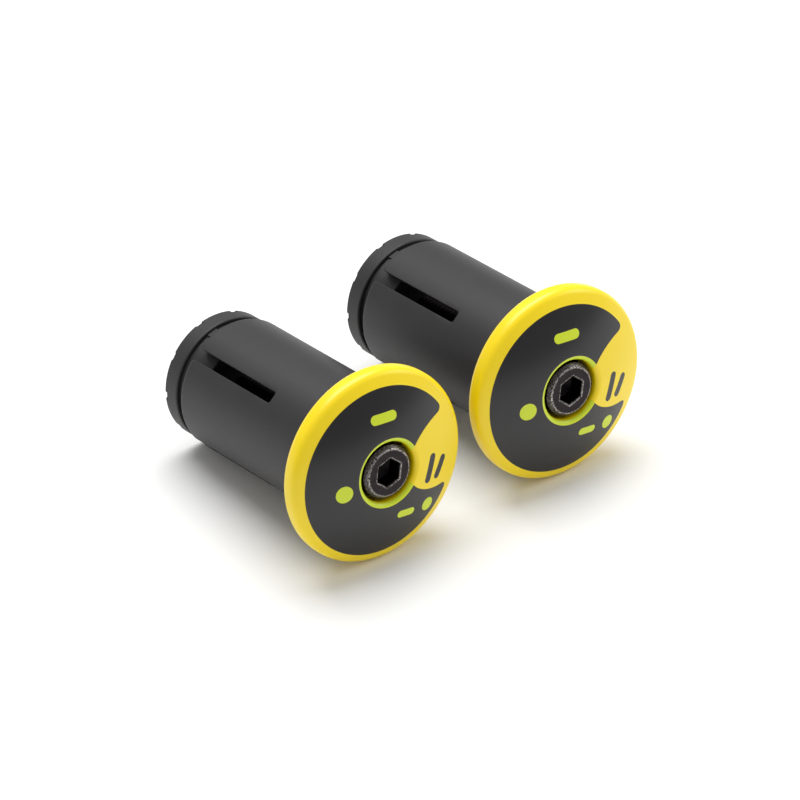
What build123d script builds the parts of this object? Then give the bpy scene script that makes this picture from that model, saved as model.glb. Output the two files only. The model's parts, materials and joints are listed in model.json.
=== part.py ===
from build123d import *
import math
import os

# A pair of expanding end plugs that close the two ends of a drop handlebar.
#
# Each plug is modelled about its own axis. z = 0 is the underside of the cap, the face that
# meets the end of the bar. +z runs out through the crown of the cap, -z runs into the bar,
# and +y is the top of the plug. A cap screw passes through the cap and the sleeve and pulls
# a tapered wedge into the mouth of the sleeve, whose four fingers then spread and grip the bar.
# All sizes are in millimetres and all angles in degrees.

# --- Cap ---------------------------------------------------------------------------------
cap_diameter = 30.5
cap_rim_height = 3.1          # flat underside to the edge of the dome
cap_crown_height = 6.6        # underside to the top of the dome, if it had no recess
cap_back_edge_round = 1.5
cap_front_edge_round = 1.4
recess_lip_round = 0.8
spigot_length = 3.0           # the part of the cap that centres it in the sleeve
spigot_edge_chamfer = 0.4
sleeve_seat_depth = 0.4       # how far the end of the sleeve sits into the underside

# --- Sleeve ------------------------------------------------------------------------------
sleeve_diameter = 20.8        # relaxed, slides into the bar
sleeve_wall = 1.6
sleeve_length = 32.0          # below the underside of the cap
sleeve_end_step = 0.2         # radial, where the end of the sleeve enters its seat in the cap
sleeve_mouth_round = 0.5      # outer edge of the finger tips
mouth_bevel = 0.2             # radial, where the cone enters
finger_count = 4
slot_width = 1.9
slot_length = 19.6
slot_end_round = 0.55
slot_phase = 40.0             # direction of the first slot, from +x towards +y
finger_corner_round = 0.9     # where a slot opens at the mouth
flex_line_offset = 0.9        # from the closed end of a slot to the line where a finger bends

# --- Wedge -------------------------------------------------------------------------------
wedge_gap = 1.4               # sleeve mouth to wedge flange, with the screw slack
wedge_flange_diameter = 20.1
wedge_flange_length = 3.1
wedge_taper = 20.0            # half angle of the cone
wedge_nose_depth = 2.6        # how far the cone reaches into the mouth
wedge_nose_round = 0.3
wedge_flange_round = 0.25     # front edge of the flange
wedge_rear_chamfer = 0.3
wedge_rim_wall = 1.7
wedge_cone_wall = 1.3
wedge_boss_wall = 1.3         # round the corners of the nut
wedge_web = 1.8               # plastic in front of the nut
wedge_rib_width = 1.4         # ribs that brace the rear cavity
key_width = 1.7               # keys that stop the wedge from turning in the sleeve
key_height = 0.45             # the keys stand this far below the edge of the flange
key_engagement = 0.9          # how far a key reaches into its groove, with the screw slack
key_offset = 65.0             # from each slot to the next key
notch_count = 10              # notches in the rear edge of the flange
notch_phase = 34.0
notch_width = 1.2
notch_depth = 0.45
notch_length = 0.8

# --- Screw, washer and nut: M5 ------------------------------------------------------------
thread_diameter = 5.0
thread_pitch = 0.8
thread_depth = 0.49
threaded_length = 22.0
nut_reach = 2.7               # how far the slack screw reaches into the nut
head_diameter = 8.5
head_height = 5.0
head_edge_chamfer = 0.6
head_below_crown = 0.5
hex_socket_width = 4.0
hex_socket_depth = 2.6
hex_socket_phase = 17.0       # direction of one corner, from +x towards +y
washer_diameter = 9.0
washer_thickness = 1.0
nut_width = 8.0
nut_height = 4.0
nut_edge_chamfer = 0.35
nut_corner_flat = 0.05        # taken off each corner of the nut

# --- Fits --------------------------------------------------------------------------------
screw_hole_clearance = 0.25   # radial, screw through the cap and the wedge
washer_clearance = 0.15       # radial, screw through the washer
head_clearance = 0.5          # radial, screw head in the recess
spigot_clearance = 0.08       # radial, the cap turns in the sleeve when the screw is slack
sleeve_seat_clearance = 0.2   # radial, body of the sleeve to the edge of its seat in the cap
thread_clearance = 0.05       # radial, screw in nut
nut_pocket_clearance = 0.05   # on each flat
cone_clearance = 0.16         # radial, cone in the sleeve mouth
key_clearance = 0.3           # round the sides, top and end of each key

# --- Travel ------------------------------------------------------------------------------
wedge_travel = 1.2            # screw slack to screw tight

# --- Pair --------------------------------------------------------------------------------
pair_gap = 3.5                # between the rims of the two caps

# --- Making ------------------------------------------------------------------------------
cut_margin = 1.0              # how far a cutting block reaches past what it cuts
pick_tolerance = 1e-3         # for picking edges by their size and place

# --- Worked out from the above ------------------------------------------------------------
cap_radius = cap_diameter / 2
pair_spacing = cap_diameter + pair_gap
sleeve_radius = sleeve_diameter / 2
sleeve_bore_radius = sleeve_radius - sleeve_wall
spigot_radius = sleeve_bore_radius - spigot_clearance
sleeve_seat_radius = sleeve_radius + sleeve_seat_clearance
screw_hole_radius = thread_diameter / 2 + screw_hole_clearance
recess_radius = head_diameter / 2 + head_clearance
head_top = cap_crown_height - head_below_crown
head_seat = head_top - head_height
washer_seat = head_seat - washer_thickness

slot_angles = [slot_phase + k * 360 / finger_count for k in range(finger_count)]
slot_end = slot_length - sleeve_length
flex_line = slot_end - flex_line_offset
key_angles = [angle + key_offset for angle in slot_angles]

flange_radius = wedge_flange_diameter / 2
flange_front = -(sleeve_length + wedge_gap)
wedge_rear = flange_front - wedge_flange_length
wedge_nose = wedge_nose_depth - sleeve_length
taper = math.tan(math.radians(wedge_taper))
mouth_radius = sleeve_bore_radius + mouth_bevel
cone_radius_at_mouth = mouth_radius - cone_clearance
cone_nose_radius = cone_radius_at_mouth - wedge_nose_depth * taper
cone_root_radius = cone_radius_at_mouth + wedge_gap * taper
nut_front = wedge_nose - wedge_web
screw_end = nut_front - nut_reach
nut_corner_radius = nut_width / 2 / math.cos(math.radians(30))
boss_radius = nut_corner_radius + wedge_boss_wall
key_top_radius = flange_radius - key_height
key_end = key_engagement - sleeve_length
key_groove_end = key_end + wedge_travel + key_clearance
dome_rise = cap_crown_height - cap_rim_height
dome_radius = (cap_radius ** 2 + dome_rise ** 2) / (2 * dome_rise)
dome_centre = cap_crown_height - dome_radius


def dome_height(radius):
    """Height of the dome above the underside of the cap, at a distance from the axis."""
    return dome_centre + math.sqrt(dome_radius ** 2 - radius ** 2)


def cone_radius(z):
    """Outer radius of the wedge's cone at a height."""
    return cone_nose_radius + (wedge_nose - z) * taper


# Lying on a table, a plug touches it with the lowest points of the cap's rim and of the
# wedge's rear edge, so its axis slopes down towards the wedge by this angle.
rest_drop = cap_radius - cap_back_edge_round - flange_radius + wedge_rear_chamfer
rest_reach = cap_back_edge_round - wedge_rear - wedge_rear_chamfer
rest_rounds = cap_back_edge_round - wedge_rear_chamfer
tilt = math.degrees(
    math.atan2(rest_drop, rest_reach) + math.asin(rest_rounds / math.hypot(rest_drop, rest_reach))
)
axis_height = (
    (cap_radius - cap_back_edge_round) * math.cos(math.radians(tilt))
    - cap_back_edge_round * math.sin(math.radians(tilt))
    + cap_back_edge_round
)


def turned(*outline):
    """A solid of revolution about z, from a closed outline of (radius, z) points."""
    wire = Polyline(*[(radius, 0, z) for radius, z in outline], close=True)
    return revolve(make_face(wire), Axis.Z)


def around(angle, shape):
    """A shape made on the +x side, turned about z to an angle."""
    return Rot(0, 0, angle) * shape


def block(inner, outer, width, low, high):
    """A block on the +x side, between two distances from the axis and two heights."""
    return Pos((inner + outer) / 2, 0, (low + high) / 2) * Box(outer - inner, width, high - low)


def circle_at(shape, radius, z):
    """The circular edge of a turned shape that has this radius and lies at this height."""
    circles = shape.edges().filter_by(GeomType.CIRCLE)
    same_radius = circles.filter_by(lambda edge: abs(edge.radius - radius) < pick_tolerance)
    return same_radius.filter_by(lambda edge: abs(edge.arc_center.Z - z) < pick_tolerance)


def end_cap():
    """Domed cap: rounded rim, recess for the screw head, spigot and seat that fit the sleeve."""
    lip = (recess_radius, 0, dome_height(recess_radius))
    crest = (cap_radius / 2, 0, dome_height(cap_radius / 2))
    rim = (cap_radius, 0, cap_rim_height)
    back = Polyline(
        (screw_hole_radius, 0, -spigot_length),
        (spigot_radius, 0, -spigot_length),
        (spigot_radius, 0, sleeve_seat_depth),
        (sleeve_seat_radius, 0, sleeve_seat_depth),
        (sleeve_seat_radius, 0, 0),
        (cap_radius, 0, 0),
        rim,
    )
    dome = ThreePointArc(rim, crest, lip)
    recess = Polyline(
        lip,
        (recess_radius, 0, washer_seat),
        (screw_hole_radius, 0, washer_seat),
        (screw_hole_radius, 0, -spigot_length),
    )
    cap = revolve(make_face([back, dome, recess]), Axis.Z)
    cap = fillet(circle_at(cap, cap_radius, 0), cap_back_edge_round)
    cap = fillet(circle_at(cap, cap_radius, cap_rim_height), cap_front_edge_round)
    cap = fillet(circle_at(cap, recess_radius, dome_height(recess_radius)), recess_lip_round)
    return chamfer(circle_at(cap, spigot_radius, -spigot_length), spigot_edge_chamfer)


def washer():
    """Plain washer under the screw head."""
    outer = washer_diameter / 2
    bore = thread_diameter / 2 + washer_clearance
    return turned((bore, washer_seat), (outer, washer_seat), (outer, head_seat), (bore, head_seat))


def screw():
    """Socket head cap screw. Its thread is a row of ring grooves at the true pitch."""
    head = head_diameter / 2
    crest = thread_diameter / 2
    root = crest - thread_depth
    outline = [
        (0, head_top),
        (head - head_edge_chamfer, head_top),
        (head, head_top - head_edge_chamfer),
        (head, head_seat),
        (crest, head_seat),
    ]
    for turn in range(round(threaded_length / thread_pitch) - 1):
        top = screw_end + threaded_length - turn * thread_pitch
        outline += [(crest, top), (root, top - thread_pitch / 2)]
    outline += [(crest, screw_end + thread_pitch), (root, screw_end), (0, screw_end)]
    hexagon = RegularPolygon(hex_socket_width / 2, 6, major_radius=False)
    socket = Pos(0, 0, head_top - hex_socket_depth) * extrude(hexagon, hex_socket_depth)
    return turned(*outline) - around(hex_socket_phase, socket)


def slots():
    """The four slots of the sleeve, as solids to cut away. Each one flares at the mouth."""
    inner = sleeve_bore_radius - cut_margin
    outer = sleeve_radius + cut_margin
    beyond = -sleeve_length - cut_margin
    flare_width = slot_width + 4 * finger_corner_round
    cutter = block(inner, outer, slot_width, beyond, slot_end)
    cutter += block(inner, outer, flare_width, beyond, -sleeve_length)
    _, at_mouth, closed_end = cutter.edges().filter_by(Axis.X).group_by(Axis.Z)
    mouth = sorted(at_mouth, key=lambda edge: abs(edge.center().Y))[:2]
    cutter = cutter.fillet(slot_end_round, closed_end)
    cutter = cutter.fillet(finger_corner_round, mouth)
    return [around(angle, cutter) for angle in slot_angles]


def sleeve_collar():
    """The closed ring of the sleeve, from the cap to the line where the fingers bend."""
    ring = turned(
        (sleeve_bore_radius, flex_line),
        (sleeve_radius, flex_line),
        (sleeve_radius, 0),
        (sleeve_radius - sleeve_end_step, 0),
        (sleeve_radius - sleeve_end_step, sleeve_seat_depth),
        (sleeve_bore_radius, sleeve_seat_depth),
    )
    return ring - slots()


def finger(angle):
    """The finger of the sleeve that follows the slot at an angle."""
    bevel_top = mouth_bevel / taper - sleeve_length
    ring = turned(
        (sleeve_bore_radius, flex_line),
        (sleeve_radius, flex_line),
        (sleeve_radius, -sleeve_length),
        (mouth_radius, -sleeve_length),
        (sleeve_bore_radius, bevel_top),
    )
    ring = fillet(circle_at(ring, sleeve_radius, -sleeve_length), sleeve_mouth_round)
    ring -= slots()
    middle = Vector(sleeve_radius, 0, 0).rotate(Axis.Z, angle + 180 / finger_count)
    piece = ring.solids().sort_by_distance(middle)[0]
    groove = block(
        sleeve_bore_radius - cut_margin,
        key_top_radius + key_clearance,
        key_width + 2 * key_clearance,
        -sleeve_length - cut_margin,
        key_groove_end,
    )
    return piece - [around(direction, groove) for direction in key_angles]


def wedge():
    """Tapered wedge with a flange, a pocket for the nut, keys on the cone and a ribbed rear."""
    body = turned(
        (screw_hole_radius, wedge_nose),
        (cone_nose_radius, wedge_nose),
        (cone_root_radius, flange_front),
        (flange_radius, flange_front),
        (flange_radius, wedge_rear),
        (screw_hole_radius, wedge_rear),
    )
    body = chamfer(circle_at(body, flange_radius, wedge_rear), wedge_rear_chamfer)
    body = fillet(circle_at(body, cone_nose_radius, wedge_nose), wedge_nose_round)
    body = fillet(circle_at(body, flange_radius, flange_front), wedge_flange_round)

    key = block(boss_radius, key_top_radius, key_width, flange_front, key_end)
    body += [around(angle, key) for angle in key_angles]

    rim_bore = flange_radius - wedge_rim_wall
    cavity = turned(
        (boss_radius, wedge_rear),
        (rim_bore, wedge_rear),
        (rim_bore, flange_front),
        (cone_radius(nut_front) - wedge_cone_wall, nut_front),
        (boss_radius, nut_front),
    )
    rib = block(
        boss_radius - cut_margin, rim_bore + cut_margin, wedge_rib_width, wedge_rear, nut_front
    )
    body -= cavity - [around(angle, rib) for angle in key_angles]

    pocket = RegularPolygon(nut_width / 2 + nut_pocket_clearance, 6, major_radius=False)
    body -= Pos(0, 0, wedge_rear) * extrude(pocket, nut_front - wedge_rear)

    notch = block(
        flange_radius - notch_depth,
        flange_radius + cut_margin,
        notch_width,
        wedge_rear,
        wedge_rear + notch_length,
    )
    spacing = 360 / notch_count
    return body - [around(notch_phase + k * spacing, notch) for k in range(notch_count)]


def nut():
    """Hexagon nut, held in the pocket of the wedge, with its corners chamfered."""
    rear = nut_front - nut_height
    hexagon = RegularPolygon(nut_width / 2, 6, major_radius=False)
    prism = Pos(0, 0, rear) * extrude(hexagon, nut_height)
    corner = nut_corner_radius - nut_corner_flat
    face = corner - 2 * nut_edge_chamfer
    blank = turned(
        (0, rear),
        (face, rear),
        (corner, rear + nut_edge_chamfer),
        (corner, nut_front - nut_edge_chamfer),
        (face, nut_front),
        (0, nut_front),
    )
    bore = thread_diameter / 2 + thread_clearance
    hole = turned((0, rear), (bore, rear), (bore, nut_front), (0, nut_front))
    return (prism & blank) - hole


def plug():
    """The pieces of one plug, by name, about the plug's own axis."""
    pieces = {
        "end_cap": end_cap(),
        "screw": screw(),
        "washer": washer(),
        "sleeve_collar": sleeve_collar(),
        "wedge": wedge(),
        "nut": nut(),
    }
    for number, angle in enumerate(slot_angles, start=1):
        pieces[f"finger_{number}"] = finger(angle)
    return pieces


def lying(shape, x):
    """A piece of a plug, moved to where the plug lies on the table, its axis at an x."""
    return Pos(x, 0, axis_height) * Rot(90 - tilt, 0, 0) * shape


pieces = plug()
pair = {"left": -pair_spacing / 2, "right": pair_spacing / 2}
nodes = {
    f"{side}_{name}": lying(piece, x)
    for side, x in pair.items()
    for name, piece in pieces.items()
}
boxes = [shape.bounding_box() for shape in nodes.values()]
middle_y = (min(box.min.Y for box in boxes) + max(box.max.Y for box in boxes)) / 2

os.makedirs("parts", exist_ok=True)
for name, shape in nodes.items():
    export_step(Pos(0, -middle_y, 0) * shape, f"parts/{name}.step")
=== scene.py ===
"""A pair of expanding end plugs for a drop handlebar, lying side by side on a pale floor.

Each plug has a domed cap with a two-colour print, a slotted sleeve, a cap screw and a tapered
wedge with its nut. Sizes are in millimetres in each plug's own frame: z = 0 is the underside
of the cap, +z runs out through its crown, -z into the handlebar, and +y is the top.
"""

import json
import math

import bmesh
import bpy
from mathutils import Matrix, Vector


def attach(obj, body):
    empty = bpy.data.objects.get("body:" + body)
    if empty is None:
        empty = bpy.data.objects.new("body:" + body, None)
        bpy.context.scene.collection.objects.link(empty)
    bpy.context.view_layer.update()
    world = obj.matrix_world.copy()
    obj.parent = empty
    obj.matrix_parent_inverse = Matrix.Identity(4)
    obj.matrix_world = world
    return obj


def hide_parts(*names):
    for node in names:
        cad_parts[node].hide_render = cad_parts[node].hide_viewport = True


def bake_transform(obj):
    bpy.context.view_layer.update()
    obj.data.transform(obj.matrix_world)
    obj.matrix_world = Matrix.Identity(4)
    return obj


MM = 0.001
SIDES = ("left", "right")

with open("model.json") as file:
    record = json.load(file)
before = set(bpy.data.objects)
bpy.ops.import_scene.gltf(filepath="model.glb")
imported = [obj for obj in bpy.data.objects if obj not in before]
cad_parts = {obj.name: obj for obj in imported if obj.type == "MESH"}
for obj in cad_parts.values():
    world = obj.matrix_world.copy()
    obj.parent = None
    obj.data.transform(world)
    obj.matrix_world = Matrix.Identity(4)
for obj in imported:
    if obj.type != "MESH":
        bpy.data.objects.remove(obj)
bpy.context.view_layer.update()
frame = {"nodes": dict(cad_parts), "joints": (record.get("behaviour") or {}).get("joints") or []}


# --- Where each plug lies ------------------------------------------------------------------

def joint(name):
    """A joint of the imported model, by name."""
    return next(j for j in frame["joints"] if j["name"] == name)


def plug_frame(side):
    """The matrix that takes a plug's own frame to the row frame, both in metres."""
    cap_turn = joint(f"{side}_cap_turn")
    out = Vector(cap_turn["axis"]).normalized()
    across = Vector((1, 0, 0))
    top = out.cross(across)
    matrix = Matrix((across, top, out)).transposed().to_4x4()
    matrix.translation = Vector(cap_turn["pos_m"])
    return matrix


# --- Sizes ---------------------------------------------------------------------------------

# Cap
cap_radius = 15.25
cap_rim_height = 3.1
cap_crown_height = 6.6
cap_back_round = 1.5
cap_front_round = 1.4
lip_round = 0.8
recess_radius = 4.75
recess_floor = 0.1
screw_hole_radius = 2.75
spigot_radius = 8.72
spigot_length = 3.0
spigot_chamfer = 0.4
seat_radius = 10.6
seat_depth = 0.4
sleeve_end_step = 0.2         # where the end of the sleeve enters its seat

# Sleeve
sleeve_radius = 10.4
sleeve_bore_radius = 8.8
sleeve_mouth = -32.0
sleeve_mouth_round = 0.5
mouth_bevel = 0.2
wedge_taper = math.radians(20)
slot_angles = [40, 130, 220, 310]
slot_half_width = 0.95
slot_end = -12.4
slot_end_round = 0.55
finger_corner_round = 0.9
flex_line = -13.3
flex_stretch = 3.0            # the length over which a finger's root bends
slot_edge_round = 0.12
key_groove_turn = 20          # from the middle of a finger, degrees
key_groove_half_width = 1.15
key_groove_radius = 9.85
key_groove_end = -29.6
thinnest_lip = 0.05           # wall left outside a key's groove at the rounded tip
step_turn = 1e-6              # degrees either side of a step in the radius

# Screw
head_top = 6.1
head_seat = 1.1
head_radius = 4.25
head_edge_chamfer = 0.6
knurl_count = 60
knurl_depth = 0.12
hex_half_width = 2.0
hex_depth = 2.6
hex_phase = 17
hex_edge_chamfer = 0.14
thread_radius = 2.5
thread_root_radius = 2.01
thread_pitch = 0.8
thread_top = -11.9
screw_end = -33.9
shank_overlap = 0.3           # how far the shank reaches up into the head
thread_inset = 0.01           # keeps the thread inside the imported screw
crest_radius = thread_radius - thread_inset
tip_radius = thread_root_radius - thread_inset
socket_point = 0.6            # the drilled point below the flat depth of the socket

# Meshes
cap_segments = 288
finger_columns = 24
head_segments = 360
shank_segments = 48
fine_merge = 1e-4             # for the turned pieces
wall_merge = 1e-3             # for the walls of the sleeve, whose strips meet less exactly

# Dome of the cap: a part of a sphere through the crown and the edge of the rim.
dome_rise = cap_crown_height - cap_rim_height
dome_radius = (cap_radius ** 2 + dome_rise ** 2) / (2 * dome_rise)
dome_centre = cap_crown_height - dome_radius


# --- Meshes --------------------------------------------------------------------------------

def polar(radius, degrees, z):
    """A point at a distance from the axis, an angle from +x towards +y, and a height."""
    angle = math.radians(degrees)
    return (radius * math.cos(angle), radius * math.sin(angle), z)


def arc(centre_r, centre_z, radius, start, end, steps):
    """Points (r, z) of an arc in a profile, angles in degrees from outwards to up."""
    angles = [math.radians(start + (end - start) * k / steps) for k in range(steps + 1)]
    return [(centre_r + radius * math.cos(a), centre_z + radius * math.sin(a)) for a in angles]


def steps_between(start, end, count):
    """Evenly spaced values from start to end, both included."""
    return [start + (end - start) * k / count for k in range(count + 1)]


def grid_faces(rows, columns, closed_columns):
    """Corner indices of the quads of a grid whose points are stored row by row."""
    wide = columns if closed_columns else columns - 1
    faces = []
    for row in range(rows - 1):
        for column in range(wide):
            beside = (column + 1) % columns
            low, high = row * columns, (row + 1) * columns
            faces.append((low + column, low + beside, high + beside, high + column))
    return faces


def new_piece(name, points, faces, side, material, sharp_degrees, merge):
    """A mesh object from points in millimetres in a plug's frame, its faces turned outwards.
    Points closer than the merge distance become one, so that strips made apart are joined."""
    mesh = bpy.data.meshes.new(name)
    mesh.from_pydata([Vector(p) * MM for p in points], [], faces)
    work = bmesh.new()
    work.from_mesh(mesh)
    bmesh.ops.remove_doubles(work, verts=work.verts, dist=merge * MM)
    bmesh.ops.dissolve_degenerate(work, edges=work.edges, dist=merge * MM)
    bmesh.ops.recalc_face_normals(work, faces=work.faces)
    work.to_mesh(mesh)
    work.free()
    mesh.transform(plug_frame(side))
    mesh.shade_smooth()
    mesh.set_sharp_from_angle(angle=math.radians(sharp_degrees))
    mesh.materials.append(material)
    piece = bpy.data.objects.new(name, mesh)
    bpy.context.scene.collection.objects.link(piece)
    return piece


def even_shading(piece):
    """Keeps the large faces flat in shade beside their narrow rounded edges."""
    modifier = piece.modifiers.new("even_shading", "WEIGHTED_NORMAL")
    modifier.keep_sharp = True
    modifier.weight = 100


# --- Node trees ----------------------------------------------------------------------------

def colour(hex_code):
    """Linear RGBA from an sRGB hex colour."""
    channels = [int(hex_code[k:k + 2], 16) / 255 for k in (1, 3, 5)]
    linear = [c / 12.92 if c <= 0.04045 else ((c + 0.055) / 1.055) ** 2.4 for c in channels]
    return (*linear, 1.0)


def add(tree, kind, inputs, **settings):
    """Adds a node. Each input is a constant, or a socket of another node to link from."""
    node = tree.nodes.new(kind)
    for name, value in settings.items():
        setattr(node, name, value)
    for name, value in inputs.items():
        if isinstance(value, bpy.types.NodeSocket):
            tree.links.new(value, node.inputs[name])
        else:
            node.inputs[name].default_value = value
    return node


def new_material(name, shader_inputs):
    """A material with one shader, set to constant inputs, and its tree and shader."""
    material = bpy.data.materials.new(name)
    material.use_nodes = True
    tree = material.node_tree
    tree.nodes.clear()
    shader = add(tree, "ShaderNodeBsdfPrincipled", shader_inputs)
    add(tree, "ShaderNodeOutputMaterial", {"Surface": shader.outputs[0]})
    return material, tree, shader


def per_metre(feature_mm):
    """Noise scale, in metres, whose features are this size in millimetres."""
    return 1 / (feature_mm * MM)


def printed_abs():
    """ABS, injection moulded and pad printed: a clear yellow with a faint ripple from the mould.
    The black and lime inks lie on it as thin glossy films with crisp edges."""
    material, tree, shader = new_material(
        "printed_abs", {"IOR": 1.53}
    )
    place = add(tree, "ShaderNodeTexCoord", {}).outputs["Object"]
    black_edge = add(tree, "ShaderNodeAttribute", {}, attribute_name="black_ink").outputs["Fac"]
    lime_edge = add(tree, "ShaderNodeAttribute", {}, attribute_name="lime_ink").outputs["Fac"]
    soft = {"From Min": -ink_edge, "From Max": ink_edge, "To Min": 1.0, "To Max": 0.0}
    black = add(tree, "ShaderNodeMapRange", {"Value": black_edge, **soft}).outputs[0]
    lime = add(tree, "ShaderNodeMapRange", {"Value": lime_edge, **soft}).outputs[0]

    tint = add(tree, "ShaderNodeTexNoise", {"Vector": place, "Scale": per_metre(6), "Detail": 3})
    yellow = add(tree, "ShaderNodeMix", {
        "Factor": tint.outputs[0], "A": colour("#FBDA00"), "B": colour("#FFE204"),
    }, data_type="RGBA")
    with_lime = add(tree, "ShaderNodeMix", {
        "Factor": lime, "A": yellow.outputs["Result"], "B": colour("#D2E322"),
    }, data_type="RGBA")
    with_black = add(tree, "ShaderNodeMix", {
        "Factor": black, "A": with_lime.outputs["Result"], "B": colour("#100E12"),
    }, data_type="RGBA")
    tree.links.new(with_black.outputs["Result"], shader.inputs["Base Color"])

    roughness = add(tree, "ShaderNodeMapRange", {"Value": black, "To Min": 0.34, "To Max": 0.26})
    tree.links.new(roughness.outputs[0], shader.inputs["Roughness"])

    ripple = add(tree, "ShaderNodeTexNoise", {"Vector": place, "Scale": per_metre(0.9)})
    film = add(tree, "ShaderNodeBump", {
        "Height": black, "Strength": 0.5, "Distance": 0.02 * MM,
    })
    bump = add(tree, "ShaderNodeBump", {
        "Height": ripple.outputs[0], "Strength": 0.1, "Distance": 0.03 * MM,
        "Normal": film.outputs[0],
    })
    tree.links.new(bump.outputs[0], shader.inputs["Normal"])
    return material


def satin_nylon(name, dark, light, roughness):
    """Glass-filled nylon, injection moulded: a satin charcoal, slightly mottled, with the fine
    grain of the glass fibres at the surface, drawn at 0.25 mm so that it shows."""
    material, tree, shader = new_material(name, {"IOR": 1.53})
    place = add(tree, "ShaderNodeTexCoord", {}).outputs["Object"]
    mottle = add(tree, "ShaderNodeTexNoise", {
        "Vector": place, "Scale": per_metre(5), "Detail": 4, "Roughness": 0.6,
    }).outputs[0]
    grain = add(tree, "ShaderNodeTexNoise", {
        "Vector": place, "Scale": per_metre(0.25), "Detail": 2,
    }).outputs[0]
    base = add(tree, "ShaderNodeMix", {
        "Factor": mottle, "A": colour(dark), "B": colour(light),
    }, data_type="RGBA")
    tree.links.new(base.outputs["Result"], shader.inputs["Base Color"])
    sheen = add(tree, "ShaderNodeMapRange", {
        "Value": grain, "To Min": roughness - 0.06, "To Max": roughness + 0.06,
    })
    tree.links.new(sheen.outputs[0], shader.inputs["Roughness"])
    bump = add(tree, "ShaderNodeBump", {
        "Height": grain, "Strength": 0.25, "Distance": 0.02 * MM,
    })
    tree.links.new(bump.outputs[0], shader.inputs["Normal"])
    return material


def black_oxide_steel():
    """Alloy steel, forged and knurled, then black oxided: a dark brown-black metal, with bright
    steel painted in flecks along the rim of the head and the edge of the hexagon socket,
    a painted highlight where these edges catch the light."""
    material, tree, shader = new_material("black_oxide_steel", {"Metallic": 1.0})
    place = add(tree, "ShaderNodeTexCoord", {}).outputs["Object"]
    # Where the head's edges take the painted highlight.
    glint_edges = add(tree, "ShaderNodeAttribute", {}, attribute_name="painted_glint").outputs["Fac"]
    flecks = add(tree, "ShaderNodeTexNoise", {
        "Vector": place, "Scale": per_metre(0.22), "Detail": 3, "Roughness": 0.7,
    }).outputs[0]
    broken = add(tree, "ShaderNodeMapRange", {
        "Value": flecks, "From Min": 0.42, "From Max": 0.58,
    }).outputs[0]
    painted_glint = add(tree, "ShaderNodeMath", {0: glint_edges, 1: broken}, operation="MULTIPLY").outputs[0]
    patches = add(tree, "ShaderNodeTexNoise", {
        "Vector": place, "Scale": per_metre(1.2), "Detail": 4,
    }).outputs[0]
    oxide = add(tree, "ShaderNodeMix", {
        "Factor": patches, "A": colour("#221F20"), "B": colour("#3A3436"),
    }, data_type="RGBA")
    # Bright steel painted in flecks on the head's rim and socket edge: a painted highlight where
    # they catch the light.
    base = add(tree, "ShaderNodeMix", {
        "Factor": painted_glint, "A": oxide.outputs["Result"], "B": colour("#C9C2BE"),
    }, data_type="RGBA")
    tree.links.new(base.outputs["Result"], shader.inputs["Base Color"])
    roughness = add(tree, "ShaderNodeMapRange", {"Value": patches, "To Min": 0.3, "To Max": 0.5})
    tree.links.new(roughness.outputs[0], shader.inputs["Roughness"])
    bump = add(tree, "ShaderNodeBump", {
        "Height": flecks, "Strength": 0.35, "Distance": 0.02 * MM,
    })
    tree.links.new(bump.outputs[0], shader.inputs["Normal"])
    return material


def zinc_plated_steel():
    """Mild steel, stamped and zinc plated: a bright bluish grey, faintly clouded."""
    material, tree, shader = new_material("zinc_plated_steel", {"Metallic": 1.0})
    place = add(tree, "ShaderNodeTexCoord", {}).outputs["Object"]
    clouds = add(tree, "ShaderNodeTexNoise", {
        "Vector": place, "Scale": per_metre(1.0), "Detail": 4,
    }).outputs[0]
    base = add(tree, "ShaderNodeMix", {
        "Factor": clouds, "A": colour("#A9ADB2"), "B": colour("#C4C7CA"),
    }, data_type="RGBA")
    tree.links.new(base.outputs["Result"], shader.inputs["Base Color"])
    roughness = add(tree, "ShaderNodeMapRange", {"Value": clouds, "To Min": 0.25, "To Max": 0.4})
    tree.links.new(roughness.outputs[0], shader.inputs["Roughness"])
    return material


# --- Print on the cap ----------------------------------------------------------------------
# Each shape gives the signed distance, in millimetres, from a point on the dome to its edge:
# negative inside. The print is plain discs, an oval bay and straight bars.

def disc(x, y, centre, radius):
    """A disc."""
    return math.hypot(x - centre[0], y - centre[1]) - radius


def bar(x, y, start, end, half_width):
    """A straight bar with round ends."""
    along = (end[0] - start[0], end[1] - start[1])
    reach = (x - start[0], y - start[1])
    share = (reach[0] * along[0] + reach[1] * along[1]) / (along[0] ** 2 + along[1] ** 2)
    share = min(max(share, 0.0), 1.0)
    return math.hypot(reach[0] - share * along[0], reach[1] - share * along[1]) - half_width


def oval(x, y, centre, half_length, half_width, turn):
    """An ellipse whose length is turned from +x by an angle in degrees."""
    angle = math.radians(turn)
    dx, dy = x - centre[0], y - centre[1]
    u = (dx * math.cos(angle) + dy * math.sin(angle)) / half_length
    v = (dy * math.cos(angle) - dx * math.sin(angle)) / half_width
    size = math.hypot(u, v)
    slope = math.hypot(u / half_length, v / half_width)
    return size * (size - 1) / slope if slope > 0 else -half_width


def inside_both(first, second, corner_round):
    """The overlap of two shapes, with the corners where their edges meet rounded."""
    beyond = (max(first + corner_round, 0), max(second + corner_round, 0))
    return min(max(first, second), -corner_round) + math.hypot(*beyond)


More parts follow.
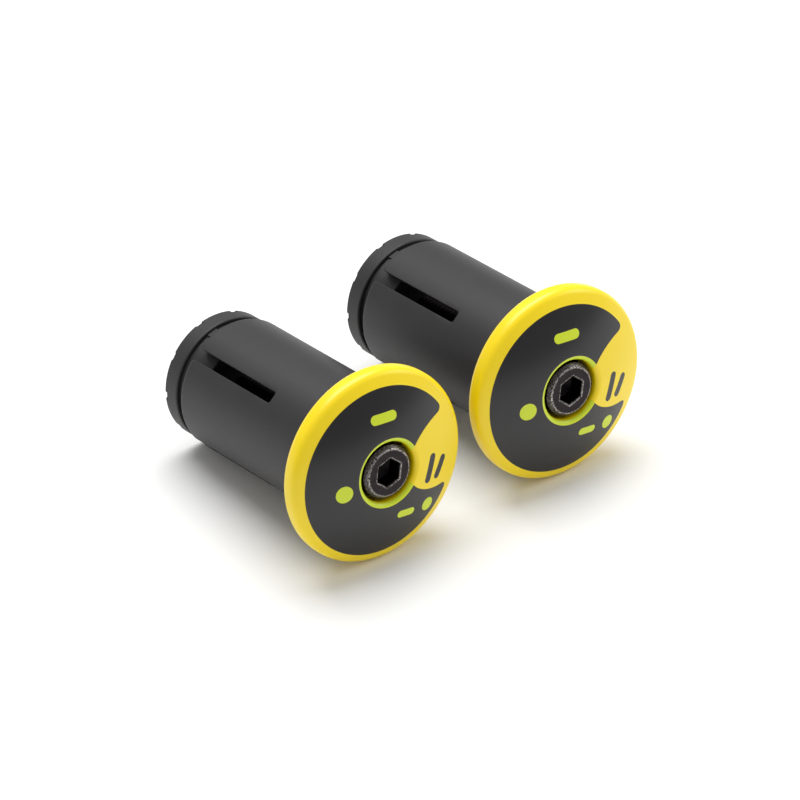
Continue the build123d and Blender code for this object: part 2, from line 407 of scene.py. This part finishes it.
ink_edge = 0.03               # half the width over which an ink fades at its edge
ink_to_recess = 0.1           # bare plastic left round the recess
bare = 1.0                    # the distance given to points that take no ink
field_centre = (-0.3, -0.3)
field_radius = 13.35
bay_centre = (11.6, -0.6)
bay_half_length = 8.4
bay_half_width = 5.9
bay_turn = 8
field_corner_round = 1.2
ring_radius = 5.5
black_bars = [((7.0, -4.2), (8.3, -0.9), 0.6), ((9.0, -4.4), (10.5, -2.2), 0.6)]
lime_bars = [((-1.1, 8.95), (2.0, 8.65), 0.75), ((1.6, -7.8), (3.7, -8.2), 0.6)]
lime_dots = [((-7.9, -0.6), 1.35), ((7.1, -8.7), 1.1)]


def inked_field(x, y):
    """A disc with an oval bay on the right, where the bare plastic shows."""
    field = disc(x, y, field_centre, field_radius)
    bay = oval(x, y, bay_centre, bay_half_length, bay_half_width, bay_turn)
    return inside_both(field, -bay, field_corner_round)


def black_ink(x, y):
    """The black: the field less what is lime on it, and two bars in the bay."""
    shapes = [max(inked_field(x, y), -lime_ink(x, y))]
    shapes += [bar(x, y, start, end, half_width) for start, end, half_width in black_bars]
    return min(shapes)


def lime_ink(x, y):
    """The lime on the field: a ring round the recess, two bars and two dots."""
    ring = disc(x, y, (0, 0), ring_radius)
    shapes = [max(ring, inked_field(x, y))]
    shapes += [bar(x, y, start, end, half_width) for start, end, half_width in lime_bars]
    shapes += [disc(x, y, centre, radius) for centre, radius in lime_dots]
    return min(shapes)


# --- Cap -----------------------------------------------------------------------------------

def cap_profile():
    """The closed outline (r, z) of the cap, from its underside over the dome to the recess."""
    front_z = dome_centre + math.sqrt(
        (dome_radius - cap_front_round) ** 2 - (cap_radius - cap_front_round) ** 2
    )
    lip_z = dome_centre + math.sqrt(
        (dome_radius - lip_round) ** 2 - (recess_radius + lip_round) ** 2
    )
    rim_turn = math.degrees(math.atan2(front_z - dome_centre, cap_radius - cap_front_round))
    lip_turn = math.degrees(math.atan2(lip_z - dome_centre, recess_radius + lip_round))
    outline = [
        (screw_hole_radius, -spigot_length),
        (spigot_radius - spigot_chamfer, -spigot_length),
        (spigot_radius, spigot_chamfer - spigot_length),
        (spigot_radius, seat_depth),
        (seat_radius, seat_depth),
        (seat_radius, 0),
    ]
    outline += arc(cap_radius - cap_back_round, cap_back_round, cap_back_round, -90, 0, 12)
    outline += arc(cap_radius - cap_front_round, front_z, cap_front_round, 0, rim_turn, 12)
    outline += arc(0, dome_centre, dome_radius, rim_turn, lip_turn, 52)[1:]
    outline += arc(recess_radius + lip_round, lip_z, lip_round, lip_turn, 180, 10)[1:]
    outline += [(recess_radius, recess_floor), (screw_hole_radius, recess_floor)]
    return outline


def end_cap(side, material):
    """The cap as a fine turned shape, with the distance to each ink's edge at every point."""
    outline = cap_profile()
    outline.append(outline[0])
    angles = [360 * k / cap_segments for k in range(cap_segments)]
    points = [polar(r, angle, z) for r, z in outline for angle in angles]
    faces = grid_faces(len(outline), cap_segments, True)
    piece = new_piece(f"{side}_cap_shell", points, faces, side, material, 35, fine_merge)
    home = plug_frame(side).inverted()
    for name, ink in (("black_ink", black_ink), ("lime_ink", lime_ink)):
        layer = piece.data.attributes.new(name, "FLOAT", "POINT")
        for number, vertex in enumerate(piece.data.vertices):
            place = home @ vertex.co / MM
            facing_out = place.z > cap_back_round
            outside = math.hypot(place.x, place.y) > recess_radius + ink_to_recess
            printed = facing_out and outside
            layer.data[number].value = ink(place.x, place.y) if printed else bare
    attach(piece, f"{side}_cap")
    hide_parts(f"{side}_end_cap")


# --- Sleeve --------------------------------------------------------------------------------

def beside_slot(slot_angle, hand, along, off):
    """A point beside a slot: its distance along the slot's direction, and off its mid-plane."""
    angle = math.radians(slot_angle)
    return (
        along * math.cos(angle) - hand * off * math.sin(angle),
        along * math.sin(angle) + hand * off * math.cos(angle),
    )


def slot_wall(slot_angle, hand, outer, inner, half_width):
    """The wall of a slot from the outside to the bore, with both of its edges rounded."""
    rounding = slot_edge_round
    off_mid = half_width + rounding * (1 - math.cos(math.pi / 4))
    dip = rounding * (1 - math.cos(math.pi / 4))
    wall_out = math.sqrt(outer ** 2 - half_width ** 2)
    wall_in = math.sqrt(inner ** 2 - half_width ** 2)
    off = half_width + rounding
    profile = [
        (math.sqrt(outer ** 2 - off ** 2), off),
        (wall_out - dip, off_mid),
        (wall_out - rounding, half_width),
        (wall_in + rounding, half_width),
        (wall_in + dip, off_mid),
        (math.sqrt(inner ** 2 - off ** 2), off),
    ]
    return [beside_slot(slot_angle, hand, along, off) for along, off in profile]


def bearing(point):
    """The angle of a point about the axis, in degrees from 0 to 360."""
    return math.degrees(math.atan2(point[1], point[0])) % 360


def finger_section(slot_angle, outer, inner, half_width, groove):
    """The closed outline, at one height, of the wall between a slot and the next one.
    It runs over the outside, down the far slot wall, back along the bore and up the near one."""
    near = slot_wall(slot_angle, 1, outer, inner, half_width)
    far = slot_wall(slot_angle + 90, -1, outer, inner, half_width)
    middle = slot_angle + 45

    def across(start, end, radius, groove_radius):
        """Points between two slot edges, with the key's groove as a step in the radius."""
        low = (bearing(start) - middle + 180) % 360 - 180
        high = (bearing(end) - middle + 180) % 360 - 180
        reach = math.degrees(math.asin(key_groove_half_width / key_groove_radius))
        edges = (key_groove_turn - reach, key_groove_turn + reach)
        found = []
        for offset in steps_between(low, high, finger_columns)[1:-1]:
            inside = edges[0] < offset < edges[1]
            found.append((offset, groove_radius if inside else radius))
        for edge, inward in ((edges[0], 1), (edges[1], -1)):
            found.append((edge - inward * step_turn, radius))
            found.append((edge + inward * step_turn, groove_radius))
        found.sort()
        return [polar(r, middle + offset, 0)[:2] for offset, r in found]

    over = across(near[0], far[0], outer, outer)
    under = across(near[-1], far[-1], inner, groove if groove else inner)
    return near, over, far, under


def finger_rows():
    """Height, outer radius, bore radius, slot half width and groove radius down a finger."""
    bevel_start = sleeve_mouth + mouth_bevel / math.tan(wedge_taper)
    corner_start = sleeve_mouth + finger_corner_round
    round_start = sleeve_mouth + sleeve_mouth_round
    heights = steps_between(flex_line, flex_line - flex_stretch, 8)
    heights += steps_between(flex_line - flex_stretch, key_groove_end, 5)[1:]
    heights += [key_groove_end]
    heights += [corner_start - finger_corner_round * math.sin(math.radians(a))
                for a in steps_between(0, 90, 10)]
    rows = []
    for number, z in enumerate(heights):
        outer, inner, half_width, groove = sleeve_radius, sleeve_bore_radius, slot_half_width, 0
        if z < round_start:
            drop = round_start - z
            outer += math.sqrt(max(sleeve_mouth_round ** 2 - drop ** 2, 0)) - sleeve_mouth_round
        if z < bevel_start:
            inner += (bevel_start - z) * math.tan(wedge_taper)
        if z < corner_start:
            drop = corner_start - z
            curve = math.sqrt(max(finger_corner_round ** 2 - drop ** 2, 0))
            half_width += finger_corner_round - curve
        if z < key_groove_end or (number and heights[number - 1] == z):
            groove = min(key_groove_radius, outer - thinnest_lip)
        rows.append((z, outer, inner, half_width, groove))
    return rows


def loop_of(section):
    """A section as one closed loop of points."""
    near, over, far, under = section
    return [near[0]] + over + [far[0]] + far[1:] + under[::-1] + near[:0:-1]


def lofted(sections, heights):
    """Points and quads through closed sections at several heights."""
    loops = [loop_of(section) for section in sections]
    points = [(x, y, z) for loop, z in zip(loops, heights) for x, y in loop]
    return points, grid_faces(len(loops), len(loops[0]), True)


def end_faces(points, section, z):
    """Closes a lofted wall at a height: a strip of quads and a corner face by each slot."""
    near, over, far, under = section
    outer_edge = [near[0]] + over + [far[0]]
    bore_edge = [near[-1]] + under + [far[-1]]
    faces = []
    for number in range(len(outer_edge) - 1):
        corners = [outer_edge[number], outer_edge[number + 1],
                   bore_edge[number + 1], bore_edge[number]]
        faces.append([len(points) + k for k in range(4)])
        points += [(x, y, z) for x, y in corners]
    for wall in (near, far):
        faces.append([len(points) + k for k in range(len(wall))])
        points += [(x, y, z) for x, y in wall]
    return faces


def sleeve_finger(side, number, slot_angle, material):
    """One finger of the sleeve, in the row frame."""
    rows = finger_rows()
    sections = [finger_section(slot_angle, outer, inner, half_width, groove)
                for z, outer, inner, half_width, groove in rows]
    heights = [row[0] for row in rows]
    points, faces = lofted(sections, heights)
    for end in (0, -1):
        faces += end_faces(points, sections[end], heights[end])
    piece = new_piece(
        f"{side}_finger_{number}_skin", points, faces, side, material, 50, wall_merge
    )
    even_shading(piece)
    home = plug_frame(side)
    end = home @ Vector((0, 0, (flex_line - flex_stretch) * MM))
    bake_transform(piece)
    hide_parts(f"{side}_finger_{number}")


def collar_rows():
    """Height and slot half width down the notched edge of the collar."""
    round_end = slot_end - slot_end_round
    rows = []
    for turn in steps_between(0, 90, 6):
        angle = math.radians(turn)
        z = round_end + slot_end_round * math.cos(angle)
        rows.append((z, slot_half_width - slot_end_round * (1 - math.sin(angle))))
    return rows + [(flex_line, slot_half_width)]


def sleeve_collar(side, material):
    """The closed ring of the sleeve, down to the line where the fingers bend."""
    points, faces = [], []
    rows = collar_rows()
    outer, inner = sleeve_radius, sleeve_bore_radius
    rings = [[], []]
    for slot_angle in slot_angles:
        sections = [finger_section(slot_angle, outer, inner, half_width, 0)
                    for z, half_width in rows]
        more, quads = lofted(sections, [z for z, half_width in rows])
        faces += [[len(points) + k for k in quad] for quad in quads]
        points += more
        faces += end_faces(points, sections[-1], flex_line)
        near, over, far, under = sections[0]
        crown = polar(outer, slot_angle + 90, 0)[:2]
        floor = polar(inner, slot_angle + 90, 0)[:2]
        rings[0] += [near[0]] + over + [far[0], crown]
        rings[1] += [near[-1]] + under + [far[-1], floor]
        beyond = slot_wall(slot_angle + 90, 1, outer, inner, rows[0][1])
        closed_end = [crown] + beyond + [floor] + far[::-1]
        faces.append([len(points) + k for k in range(len(closed_end))])
        points += [(x, y, slot_end) for x, y in closed_end]
    count = len(rings[0])
    stepped = (outer - sleeve_end_step) / outer
    outside = [(z, 1.0) for z in steps_between(slot_end, 0, 4)]
    outside += [(0, stepped), (seat_depth, stepped)]
    bore = [(z, 1.0) for z in steps_between(slot_end, seat_depth, 4)]
    for ring, levels in zip(rings, (outside, bore)):
        start = len(points)
        points += [(x * share, y * share, z) for z, share in levels for x, y in ring]
        faces += [[start + k for k in quad] for quad in grid_faces(len(levels), count, True)]
    start = len(points)
    points += [(x * stepped, y * stepped, seat_depth) for x, y in rings[0]]
    points += [(x, y, seat_depth) for x, y in rings[1]]
    faces += [[start + k for k in quad] for quad in grid_faces(2, count, True)]
    piece = new_piece(f"{side}_collar_skin", points, faces, side, material, 50, wall_merge)
    even_shading(piece)
    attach(piece, f"{side}_sleeve")
    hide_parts(f"{side}_sleeve_collar")


# --- Screw ---------------------------------------------------------------------------------

def hexagon_reach(degrees, half_width):
    """Distance from the axis to a hexagon, in a direction."""
    from_corner = (degrees - hex_phase) % 60
    return half_width / math.cos(math.radians(from_corner - 30))


def knurl(degrees, share):
    """Radius of the knurled side of the head. share runs from 0, smooth, to 1, full depth."""
    wave = 0.5 - 0.5 * math.cos(math.radians(degrees * knurl_count))
    return head_radius - knurl_depth * share * wave ** 0.7


def head_rows(degrees):
    """The head's outline (r, z, share of painted highlight) in one direction, from the foot of
    the socket outwards.
    """
    wall = hexagon_reach(degrees, hex_half_width)
    mouth = hexagon_reach(degrees, hex_half_width + hex_edge_chamfer)
    flat = head_radius - head_edge_chamfer
    side = head_top - head_edge_chamfer
    # The third value paints a highlight on the socket's mouth and the head's rim, where they
    # catch the light.
    rows = [
        (0.0, head_top - hex_depth - socket_point, 0),
        (wall, head_top - hex_depth, 0),
        (wall, head_top - hex_edge_chamfer - 0.5, 0),
        (wall, head_top - hex_edge_chamfer, 0.4),
        (mouth, head_top, 0.9),
        (mouth + 0.14, head_top, 0),
        (flat - 0.2, head_top, 0),
        (flat - 0.05, head_top, 0.75),
        (flat + 0.05, head_top - 0.05, 1.0),
        (flat + 0.2, head_top - 0.2, 0.25),
        (knurl(degrees, 0.1), side + 0.02, 0.1),
        (knurl(degrees, 0.8), side - 0.12, 0.15),
        (knurl(degrees, 1.0), side - 0.3, 0),
    ]
    rows += [(knurl(degrees, 1.0), z, 0) for z in steps_between(side - 1, head_seat + 0.5, 3)]
    rows += [
        (knurl(degrees, 0.3), head_seat + 0.25, 0),
        (head_radius - 0.35, head_seat, 0),
        (0.0, head_seat, 0),
    ]
    return rows


def thread_points():
    """A right-hand helical thread and the plain shank above it, as a grid of points.
    Every row goes once along the thread's profile; the next turn starts where it ends."""
    flank = [(0.0, thread_root_radius), (0.2, thread_root_radius),
             (0.53, crest_radius), (0.67, crest_radius)]
    turns = math.ceil((thread_top - screw_end) / thread_pitch) + 1
    points = []
    for step in range(turns * shank_segments + 1):
        angle = 360 * step / shank_segments
        base = screw_end - thread_pitch + thread_pitch * step / shank_segments
        for share, radius in flank:
            z = base + share * thread_pitch
            if z < screw_end:
                radius, z = tip_radius, screw_end
            if z > thread_top:
                radius, z = crest_radius, thread_top
            points.append(polar(radius, angle, z))
    return points, len(flank)


def screw(side, material):
    """Socket head cap screw: knurled head, hexagon socket, plain shank and helical thread."""
    columns = [head_rows(degrees) for degrees in range(head_segments)]
    height = len(columns[0])
    points = [polar(columns[d][row][0], d, columns[d][row][1])
              for row in range(height) for d in range(head_segments)]
    glint_share = [columns[d][row][2] for row in range(height) for d in range(head_segments)]
    faces = grid_faces(height, head_segments, True)

    shank_top = head_seat + shank_overlap
    shank = [(0.0, shank_top), (crest_radius, shank_top), (crest_radius, thread_top)]
    start = len(points)
    points += [polar(r, 360 * k / shank_segments, z) for r, z in shank
               for k in range(shank_segments)]
    faces += [[start + k for k in quad] for quad in grid_faces(3, shank_segments, True)]

    start = len(points)
    helix, profile_count = thread_points()
    points += helix
    step_count = len(helix) // profile_count
    for step in range(step_count - 1):
        for k in range(profile_count - 1):
            low = start + step * profile_count + k
            faces.append((low, low + profile_count, low + profile_count + 1, low + 1))
        above = step + shank_segments
        if above + 1 < step_count:
            low = start + step * profile_count + profile_count - 1
            high = start + above * profile_count
            faces.append((low, low + profile_count, high + profile_count, high))
    start = len(points)
    tip = [(tip_radius, screw_end), (0.0, screw_end)]
    points += [polar(r, 360 * k / shank_segments, z) for r, z in tip
               for k in range(shank_segments)]
    faces += [[start + k for k in quad] for quad in grid_faces(2, shank_segments, True)]

    piece = new_piece(f"{side}_cap_screw", points, faces, side, material, 28, fine_merge)
    home = plug_frame(side).inverted()
    # Each point's share of the painted highlight, carried onto the mesh as an attribute.
    glint_by_point = {}
    for point, value in zip(points, glint_share):
        glint_by_point[tuple(round(c, 3) for c in point)] = value
    layer = piece.data.attributes.new("painted_glint", "FLOAT", "POINT")
    for number, vertex in enumerate(piece.data.vertices):
        place = home @ vertex.co / MM
        layer.data[number].value = glint_by_point.get(tuple(round(c, 3) for c in place), 0.0)
    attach(piece, f"{side}_screw")
    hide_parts(f"{side}_screw")


# --- Both plugs ----------------------------------------------------------------------------

cap_material = printed_abs()
sleeve_material = satin_nylon("satin_nylon", "#201E21", "#292729", 0.5)
wedge_material = satin_nylon("satin_nylon_wedge", "#212022", "#292829", 0.56)
screw_material = black_oxide_steel()
zinc_material = zinc_plated_steel()

for side in SIDES:
    end_cap(side, cap_material)
    sleeve_collar(side, sleeve_material)
    for number, slot_angle in enumerate(slot_angles, start=1):
        sleeve_finger(side, number, slot_angle, sleeve_material)
    screw(side, screw_material)
    for node, material in (("wedge", wedge_material), ("nut", zinc_material),
                           ("washer", zinc_material)):
        mesh = frame["nodes"][f"{side}_{node}"].data
        mesh.materials.clear()
        mesh.materials.append(material)


# --- Floor, lights and camera --------------------------------------------------------------

def studio_floor():
    """A plain pale floor, matt paper white."""
    half = 1.5
    mesh = bpy.data.meshes.new("studio_floor")
    corners = [(-half, -half, 0), (half, -half, 0), (half, half, 0), (-half, half, 0)]
    mesh.from_pydata(corners, [], [(0, 1, 2, 3)])
    material, tree, shader = new_material(
        "white_paper", {"Base Color": colour("#F6F6F5"), "Roughness": 0.9}
    )
    mesh.materials.append(material)
    floor = bpy.data.objects.new("studio_floor", mesh)
    bpy.context.scene.collection.objects.link(floor)


def softbox(name, place, aim, width, depth, power):
    """A rectangular soft light at a place, facing a point."""
    light = bpy.data.lights.new(name, "AREA")
    light.shape = "RECTANGLE"
    light.size = width
    light.size_y = depth
    light.energy = power
    lamp = bpy.data.objects.new(name, light)
    bpy.context.scene.collection.objects.link(lamp)
    lamp.location = place
    lamp.rotation_euler = (Vector(aim) - Vector(place)).to_track_quat("-Z", "Y").to_euler()


def studio_light():
    """Soft light from overhead and behind, a weaker one from the right, and a white room.
    Places and sizes are in metres, powers in watts."""
    softbox("overhead", (0.1, 0.25, 0.7), (0, 0, 0), 0.7, 0.5, 6.0)
    softbox("right_fill", (0.6, -0.25, 0.35), (0, 0, 0.01), 0.4, 0.3, 1.0)
    world = bpy.data.worlds.new("white_room")
    world.use_nodes = True
    background = world.node_tree.nodes["Background"]
    background.inputs["Color"].default_value = colour("#FFFFFF")
    background.inputs["Strength"].default_value = 0.46
    bpy.context.scene.world = world


def camera():
    """A long lens, well back, above and to the left of the caps."""
    turn = math.radians(-37.44)
    drop = math.radians(35.55)
    forward = Vector((math.sin(-turn) * math.cos(drop), math.cos(turn) * math.cos(drop),
                      -math.sin(drop)))
    right = Vector((math.cos(turn), math.sin(turn), 0))
    up = right.cross(forward)
    plug = Vector(joint("left_cap_turn")["pos_m"])
    place = Vector((plug.x - 0.46331, plug.y - 0.61372, 0.5749))
    lens = bpy.data.cameras.new("camera")
    lens.lens = 292.5
    lens.sensor_width = 36
    lens.clip_start = 0.01
    eye = bpy.data.objects.new("camera", lens)
    bpy.context.scene.collection.objects.link(eye)
    eye.matrix_world = Matrix.Translation(place) @ Matrix(
        (right, up, -forward)
    ).transposed().to_4x4()
    bpy.context.scene.camera = eye


studio_floor()
studio_light()
camera()
bpy.context.scene.view_settings.view_transform = "Standard"
